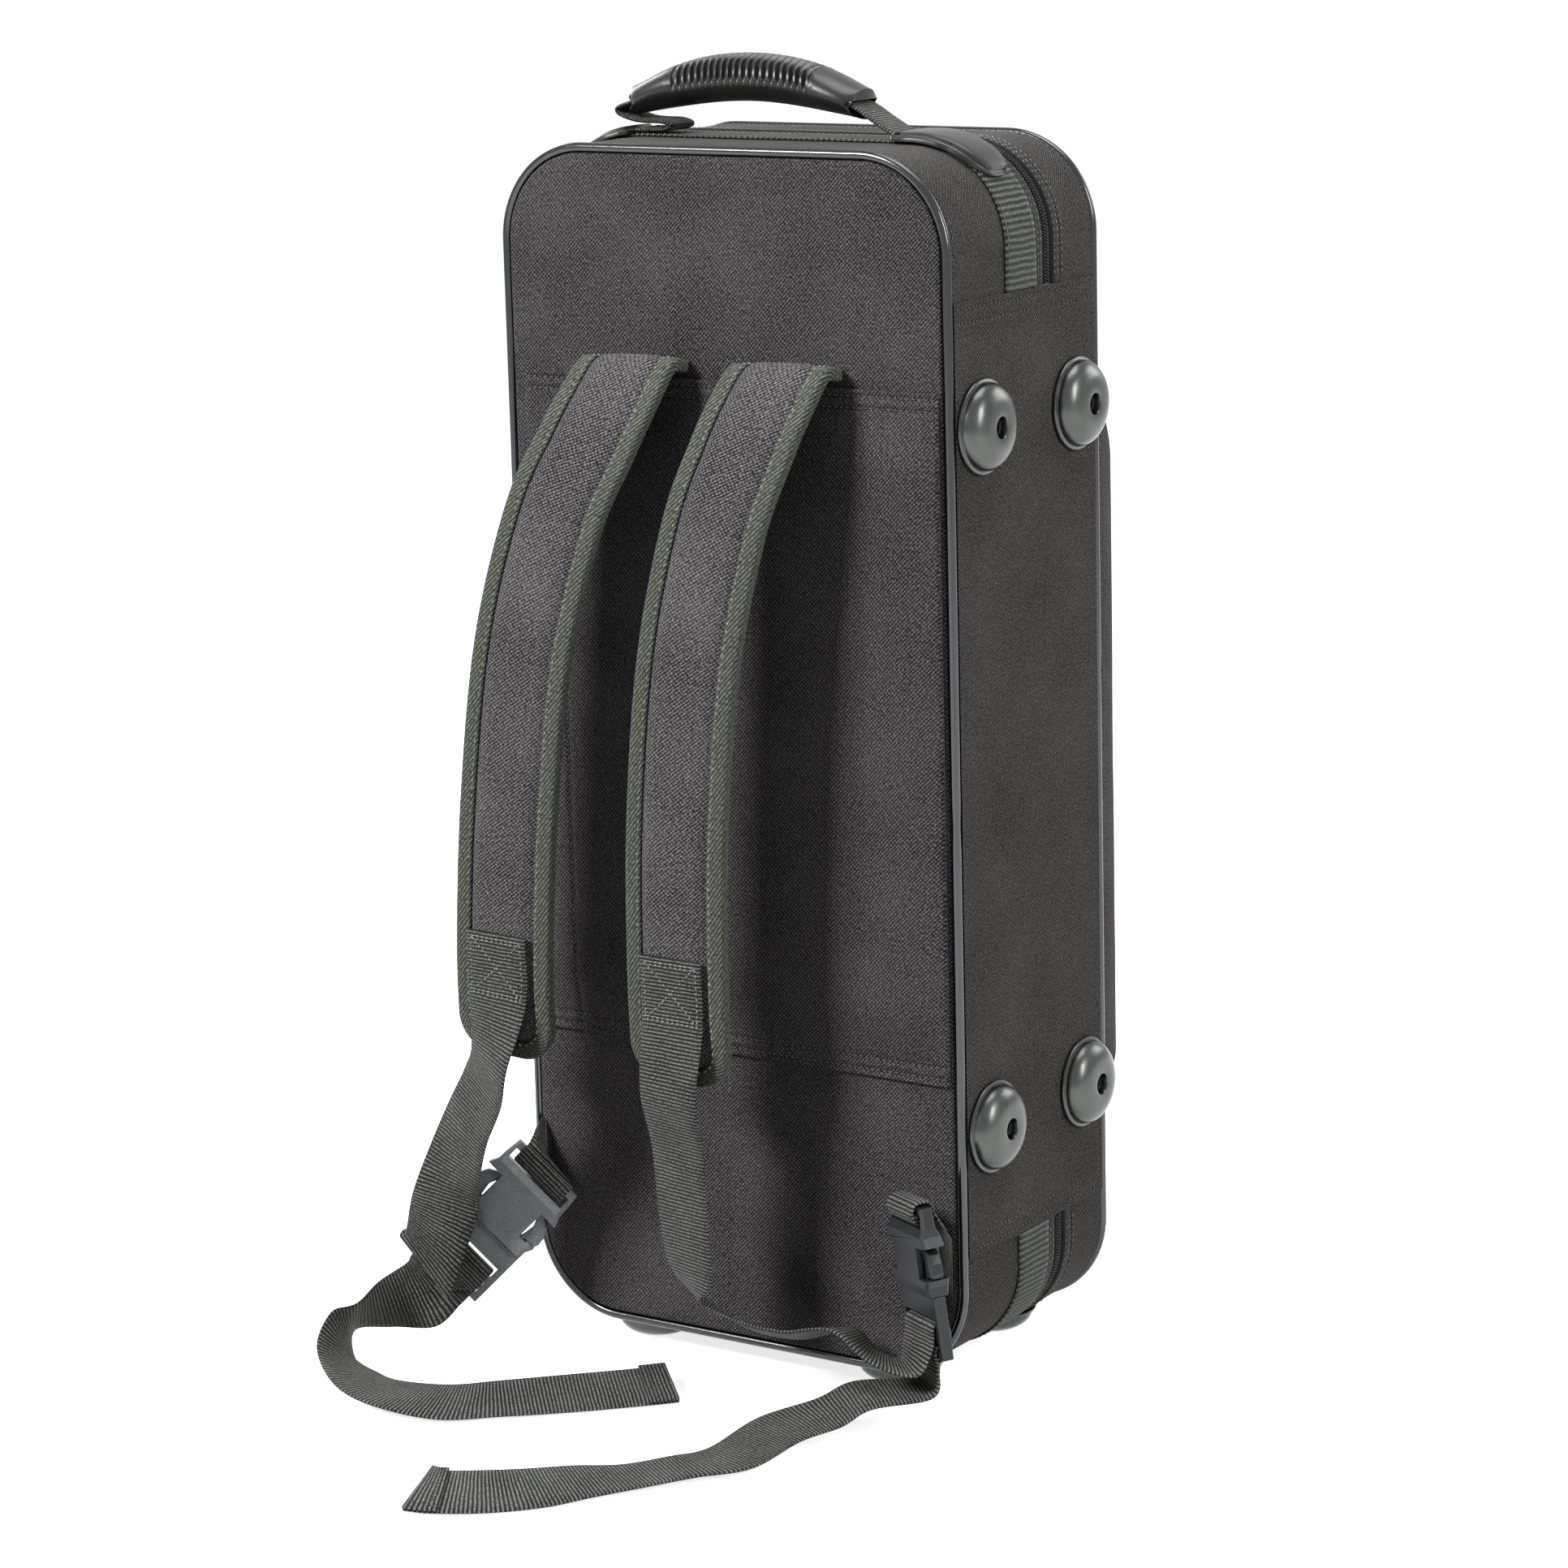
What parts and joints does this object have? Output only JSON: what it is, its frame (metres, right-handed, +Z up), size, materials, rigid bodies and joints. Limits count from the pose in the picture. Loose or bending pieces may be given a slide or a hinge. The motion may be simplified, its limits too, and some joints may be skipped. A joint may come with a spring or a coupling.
{
  "type": "alto saxophone case",
  "caption": "Upright zipped hard case with a fitted insert, carry handles, a front pocket and padded rucksack straps on side-release buckles",
  "frame": {"origin": "On the outer face of the webbing band under the case, below the middle of its width", "axes": "+Z up along the case as it stands on its end, +Y out of the lid and its pocket, -Y out of the back with the straps, +X out of the hinge side"},
  "size_m": [0.3515, 0.4543, 0.6941],
  "materials": {
    "shell": "bare pressed board, matt",
    "lining": "short black plush",
    "twill": "dark polyester twill, woven",
    "binding": "woven binding tape",
    "webbing": "ribbed polyester webbing",
    "piping": "glossy extruded cord",
    "moulded": "satin moulded plastic",
    "rubber": "soft satin moulding",
    "zip": "coil zip tape",
    "metal": "black lacquered die casting"
  },
  "bodies": {
    "case_base": {"base_shell": "shell", "back_cover": "twill", "back_piping": "piping", "base_gusset": "twill", "webbing_band": "webbing", "zip_tape_base": "zip", "hinge_panel_base": "twill", "fitted_insert": "lining", "strap_sleeve": "twill", "side_foot_base_lower": "moulded", "side_foot_base_upper": "moulded", "end_foot_base_left": "moulded", "end_foot_base_right": "moulded", "shoulder_pad_left": "twill", "strap_binding_left": "binding", "strap_webbing_left": "webbing", "strap_tail_left": "webbing", "buckle_female_left": "moulded", "anchor_webbing_left": "webbing", "shoulder_pad_right": "twill", "strap_binding_right": "binding", "strap_webbing_right": "webbing", "strap_tail_right": "webbing", "buckle_female_right": "moulded", "anchor_webbing_right": "webbing", "top_handle_pad_left": "rubber", "top_handle_pad_right": "rubber", "top_handle_webbing": "webbing", "side_handle_pad_upper": "rubber", "side_handle_pad_lower": "rubber", "side_handle_webbing": "webbing"},
    "lid": {"lid_shell": "shell", "front_cover": "twill", "front_piping": "piping", "lid_gusset": "twill", "zip_tape_lid": "zip", "hinge_panel_lid": "twill", "lid_padding": "lining", "side_foot_lid_lower": "moulded", "side_foot_lid_upper": "moulded", "end_foot_lid_left": "moulded", "end_foot_lid_right": "moulded", "front_pocket": "twill", "pocket_zip": "zip"},
    "top_handle": {"top_handle_grip": "rubber"},
    "side_handle": {"side_handle_grip": "rubber"},
    "zip_slider_high": {"zip_slider_upper": "metal"},
    "zip_slider_low": {"zip_slider_lower": "metal"},
    "zip_pull_high": {"zip_pull_upper": "metal"},
    "zip_pull_low": {"zip_pull_lower": "metal"},
    "pocket_zip_slider": {"pocket_slider": "metal"},
    "pocket_zip_pull": {"pocket_pull": "metal"},
    "buckle_left": {"buckle_male_left": "moulded"},
    "buckle_right": {"buckle_male_right": "moulded"},
    "arm_left_left": {"buckle_arm_left_left": "moulded"},
    "arm_left_right": {"buckle_arm_left_right": "moulded"},
    "arm_right_left": {"buckle_arm_right_left": "moulded"},
    "arm_right_right": {"buckle_arm_right_right": "moulded"}
  },
  "joints": [
    {"name": "lid_hinge", "type": "hinge", "parent": "case_base", "child": "lid", "pos_m": [0.1375, 0.0238, 0.317], "axis": [0, 0, -1], "range_deg": [0, 110]},
    {"name": "top_handle_swing", "type": "hinge", "parent": "case_base", "child": "top_handle", "pos_m": [-0.0232, -0.0058, 0.6435], "axis": [1, 0, 0], "range_deg": [-35, 35], "stiffness_Nm_per_rad": 0.3, "deforming": ["top_handle_webbing"]},
    {"name": "side_handle_swing", "type": "hinge", "parent": "case_base", "child": "side_handle", "pos_m": [-0.141, -0.0058, 0.3332], "axis": [0, 0, 1], "range_deg": [-47, 23], "stiffness_Nm_per_rad": 0.3, "deforming": ["side_handle_webbing"]},
    {"name": "zip_high_slide", "type": "slide", "parent": "case_base", "child": "zip_slider_high", "axis": [0, 0, 1], "range_m": [0, 0.235]},
    {"name": "zip_low_slide", "type": "slide", "parent": "case_base", "child": "zip_slider_low", "axis": [0, 0, -1], "range_m": [0, 0.235]},
    {"name": "zip_high_pull", "type": "hinge", "parent": "zip_slider_high", "child": "zip_pull_high", "pos_m": [-0.1417, 0.0238, 0.339], "axis": [0, 1, 0], "range_deg": [0, 150]},
    {"name": "zip_low_pull", "type": "hinge", "parent": "zip_slider_low", "child": "zip_pull_low", "pos_m": [-0.1417, 0.0238, 0.301], "axis": [0, 1, 0], "range_deg": [0, 150]},
    {"name": "pocket_slide", "type": "slide", "parent": "lid", "child": "pocket_zip_slider", "axis": [-1, 0, 0], "range_m": [0, 0.172]},
    {"name": "pocket_pull_swing", "type": "hinge", "parent": "pocket_zip_slider", "child": "pocket_zip_pull", "pos_m": [0.092, 0.1164, 0.437], "axis": [0, 0, -1], "range_deg": [0, 150]},
    {"name": "buckle_release_left", "type": "slide", "parent": "case_base", "child": "buckle_left", "axis": [-0.5501, -0.4831, -0.6812], "range_m": [0, 0.034], "deforming": ["strap_webbing_left", "strap_tail_left", "buckle_arm_left_left", "buckle_arm_left_right"]},
    {"name": "arm_press_left_left", "type": "hinge", "parent": "buckle_left", "child": "arm_left_left", "pos_m": [-0.14968, -0.12083, 0.06771], "axis": [-0.516, 0.838, -0.1776], "range_deg": [0, 11], "stiffness_Nm_per_rad": 0.02},
    {"name": "arm_press_left_right", "type": "hinge", "parent": "buckle_left", "child": "arm_left_right", "pos_m": [-0.12933, -0.11296, 0.04569], "axis": [0.516, -0.838, 0.1776], "range_deg": [0, 11], "stiffness_Nm_per_rad": 0.02},
    {"name": "buckle_release_right", "type": "slide", "parent": "case_base", "child": "buckle_right", "axis": [0.139, 0, -0.9903], "range_m": [0, 0.034], "deforming": ["strap_webbing_right", "strap_tail_right", "buckle_arm_right_left", "buckle_arm_right_right"]},
    {"name": "arm_press_right_left", "type": "hinge", "parent": "buckle_right", "child": "arm_right_left", "pos_m": [0.11343, -0.09004, 0.05872], "axis": [0.5725, 0.8159, 0.0804], "range_deg": [0, 11], "stiffness_Nm_per_rad": 0.02},
    {"name": "arm_press_right_right", "type": "hinge", "parent": "buckle_right", "child": "arm_right_right", "pos_m": [0.13847, -0.10796, 0.06224], "axis": [-0.5725, -0.8159, -0.0804], "range_deg": [0, 11], "stiffness_Nm_per_rad": 0.02}
  ]
}
